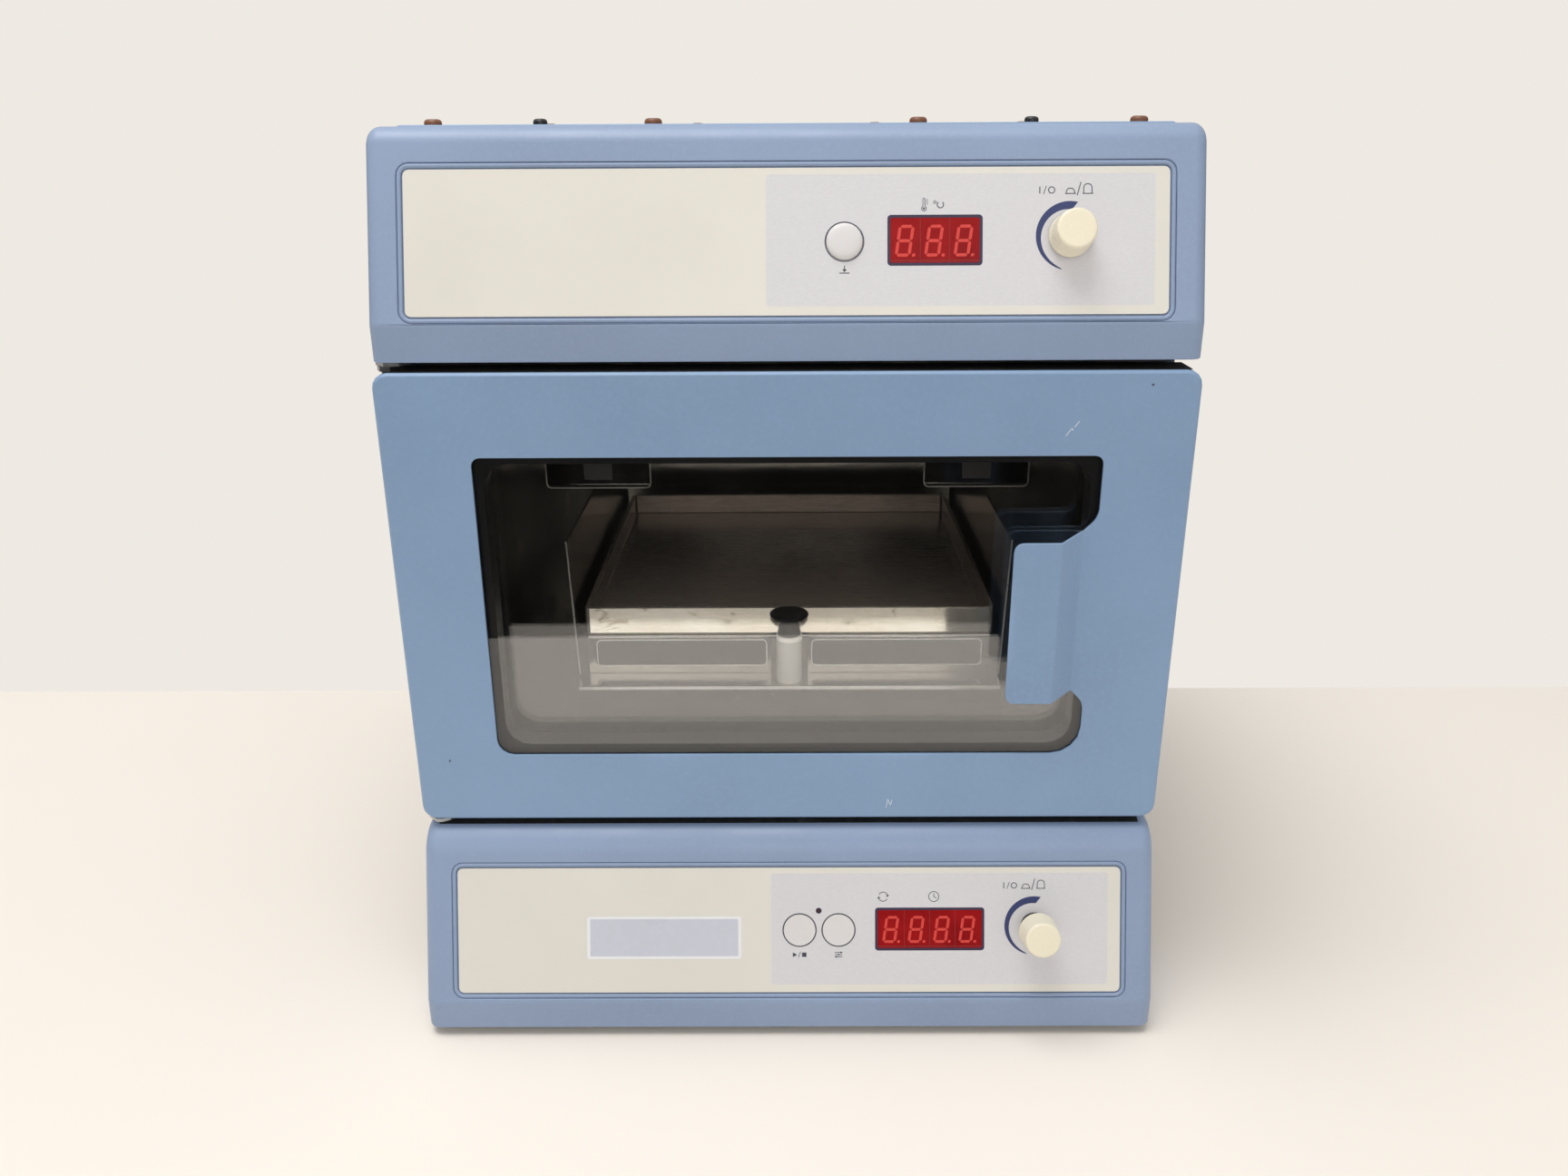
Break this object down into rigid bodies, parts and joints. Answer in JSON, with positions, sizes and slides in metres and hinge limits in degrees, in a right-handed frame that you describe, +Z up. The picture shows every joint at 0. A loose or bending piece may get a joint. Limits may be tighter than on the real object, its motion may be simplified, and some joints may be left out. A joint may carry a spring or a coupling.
{
  "type": "microplate shaker incubator",
  "caption": "Bench incubator with a hinged glass door, an orbiting plate platform in a heated chamber, and slanted control panels above and below.",
  "frame": {"origin": "on the bench, at the middle of the outer width and depth", "axes": "+X to the right seen from the front, +Y to the rear, +Z up"},
  "size_m": [0.365, 0.4276, 0.4355],
  "materials": {
    "blue_moulding": "satin",
    "blue_paint": "satin",
    "black_paint": "satin",
    "cream_panel": "matt",
    "cream_enamel": "satin",
    "ivory_plastic": "satin",
    "dark_lens": "gloss",
    "red_display": "matt",
    "circuit_board": "matt",
    "black_plastic": "satin",
    "black_rubber": "matt",
    "plain_steel": "ground",
    "plated_sheet": "satin",
    "stainless_sheet": "brushed",
    "polished_steel": "polished",
    "chromed_steel": "polished",
    "cast_aluminium": "satin",
    "fin_aluminium": "bright",
    "bearing_bronze": "satin",
    "mineral_wool": "matt",
    "clear_glass": "polished",
    "brown_screw": "satin"
  },
  "bodies": {
    "cabinet": {"base_bezel": "blue_moulding", "base_chassis": "plated_sheet", "base_cover": "black_paint", "rubber_feet": "black_rubber", "base_fascia": "cream_panel", "base_display": "dark_lens", "base_digits": "red_display", "base_board": "circuit_board", "speed_switch": "black_plastic", "chamber_liner": "stainless_sheet", "insulation": "mineral_wool", "casing": "black_paint", "front_frame": "stainless_sheet", "hinge_brackets": "plated_sheet", "top_bezel": "blue_moulding", "top_chassis": "plated_sheet", "top_cover": "blue_paint", "cover_screws": "brown_screw", "cover_plugs": "black_plastic", "top_fascia": "cream_panel", "top_display": "dark_lens", "top_digits": "red_display", "top_board": "circuit_board", "temperature_switch": "black_plastic", "heater_ducts": "polished_steel", "heating_elements": "fin_aluminium", "fan_motors": "black_plastic", "drive_motor": "black_paint", "drive_bridge": "cast_aluminium", "fixed_bearings": "bearing_bronze", "drive_belt": "black_rubber", "power_inlet": "black_plastic"},
    "door": {"door_skin": "blue_paint", "door_frame": "black_plastic", "door_outer_pane": "clear_glass", "door_inner_pane": "clear_glass", "door_seal": "black_rubber", "hinge_pins": "plain_steel"},
    "drive": {"drive_shaft": "plain_steel", "driven_pulley": "cast_aluminium"},
    "carriage": {"carriage_plate": "stainless_sheet", "carriage_bearings": "bearing_bronze", "lock_barrel": "chromed_steel"},
    "front_left_crank": {"crank_front_left": "plain_steel"},
    "front_right_crank": {"crank_front_right": "plain_steel"},
    "rear_crank": {"crank_rear": "plain_steel"},
    "motor": {"motor_pulley": "plain_steel"},
    "platform": {"plate_tray": "cream_enamel", "tray_support": "stainless_sheet"},
    "lock": {"lock_pin": "plain_steel", "lock_knob": "black_plastic"},
    "left_fan": {"fan_rotor_left": "black_plastic"},
    "right_fan": {"fan_rotor_right": "black_plastic"},
    "speed_control_spindle": {"speed_spindle": "plain_steel"},
    "speed_control_knob": {"speed_knob": "ivory_plastic"},
    "temperature_control_spindle": {"temperature_spindle": "plain_steel"},
    "temperature_control_knob": {"temperature_knob": "ivory_plastic"},
    "set_key": {"set_button": "ivory_plastic"},
    "start_key": {"start_button": "cream_panel"},
    "mode_key": {"mode_button": "cream_panel"}
  },
  "joints": [
    {"name": "door_hinge", "type": "hinge", "parent": "cabinet", "child": "door", "pos_m": [-0.177, -0.16218, 0.21925], "axis": [0, 0, 1], "range_deg": [-110, 0]},
    {"name": "drive_spin", "type": "hinge", "parent": "cabinet", "child": "drive", "pos_m": [0, 0.03682, 0.096], "axis": [0, 0, 1], "continuous": true},
    {"name": "carriage_orbit", "type": "hinge", "parent": "drive", "child": "carriage", "pos_m": [0.00075, 0.03682, 0.121], "axis": [0, 0, 1], "continuous": true},
    {"name": "motor_spin", "type": "hinge", "parent": "cabinet", "child": "motor", "pos_m": [-0.105, 0.03682, 0.09], "axis": [0, 0, 1], "continuous": true},
    {"name": "front_left_crank_spin", "type": "hinge", "parent": "cabinet", "child": "front_left_crank", "pos_m": [-0.08, -0.03318, 0.096], "axis": [0, 0, 1], "continuous": true},
    {"name": "front_right_crank_spin", "type": "hinge", "parent": "cabinet", "child": "front_right_crank", "pos_m": [0.08, -0.03318, 0.096], "axis": [0, 0, 1], "continuous": true},
    {"name": "rear_crank_spin", "type": "hinge", "parent": "cabinet", "child": "rear_crank", "pos_m": [0, 0.12182, 0.096], "axis": [0, 0, 1], "continuous": true},
    {"name": "platform_lift", "type": "slide", "parent": "carriage", "child": "platform", "axis": [0, 0, 1], "range_m": [0, 0.04]},
    {"name": "lock_pull", "type": "slide", "parent": "carriage", "child": "lock", "axis": [0, 0, 1], "range_m": [0, 0.008], "stiffness_N_per_m": 600, "springref_m": -0.004},
    {"name": "left_fan_spin", "type": "hinge", "parent": "cabinet", "child": "left_fan", "pos_m": [-0.103, -0.00218, 0.335], "axis": [0, 0, 1], "continuous": true},
    {"name": "right_fan_spin", "type": "hinge", "parent": "cabinet", "child": "right_fan", "pos_m": [0.103, -0.00218, 0.335], "axis": [0, 0, 1], "continuous": true},
    {"name": "speed_push", "type": "slide", "parent": "cabinet", "child": "speed_control_spindle", "axis": [0, -0.9511, 0.309], "range_m": [-0.009, 0]},
    {"name": "speed_dial", "type": "hinge", "parent": "speed_control_spindle", "child": "speed_control_knob", "pos_m": [0.1226, -0.18922, 0.05681], "axis": [0, -0.9511, 0.309], "range_deg": [-150, 120]},
    {"name": "temperature_push", "type": "slide", "parent": "cabinet", "child": "temperature_control_spindle", "axis": [0, -0.9532, 0.3024], "range_m": [0, 0.009]},
    {"name": "temperature_dial", "type": "hinge", "parent": "temperature_control_spindle", "child": "temperature_control_knob", "pos_m": [0.1226, -0.15643, 0.38676], "axis": [0, -0.9532, 0.3024], "range_deg": [-150, 120]},
    {"name": "set_press", "type": "slide", "parent": "cabinet", "child": "set_key", "axis": [0, -0.9532, 0.3024], "range_m": [-0.0008, 0], "stiffness_N_per_m": 1000, "springref_m": 0.0015},
    {"name": "start_press", "type": "slide", "parent": "cabinet", "child": "start_key", "axis": [0, -0.9511, 0.309], "range_m": [-0.0004, 0], "stiffness_N_per_m": 1500, "springref_m": 0.001},
    {"name": "mode_press", "type": "slide", "parent": "cabinet", "child": "mode_key", "axis": [0, -0.9511, 0.309], "range_m": [-0.0004, 0], "stiffness_N_per_m": 1500, "springref_m": 0.001}
  ],
  "couplings": [
    {"joint": "carriage_orbit", "follows": "drive_spin", "ratio": -1},
    {"joint": "motor_spin", "follows": "drive_spin", "ratio": 3.3333},
    {"joint": "front_left_crank_spin", "follows": "drive_spin", "ratio": 1},
    {"joint": "front_right_crank_spin", "follows": "drive_spin", "ratio": 1},
    {"joint": "rear_crank_spin", "follows": "drive_spin", "ratio": 1}
  ]
}
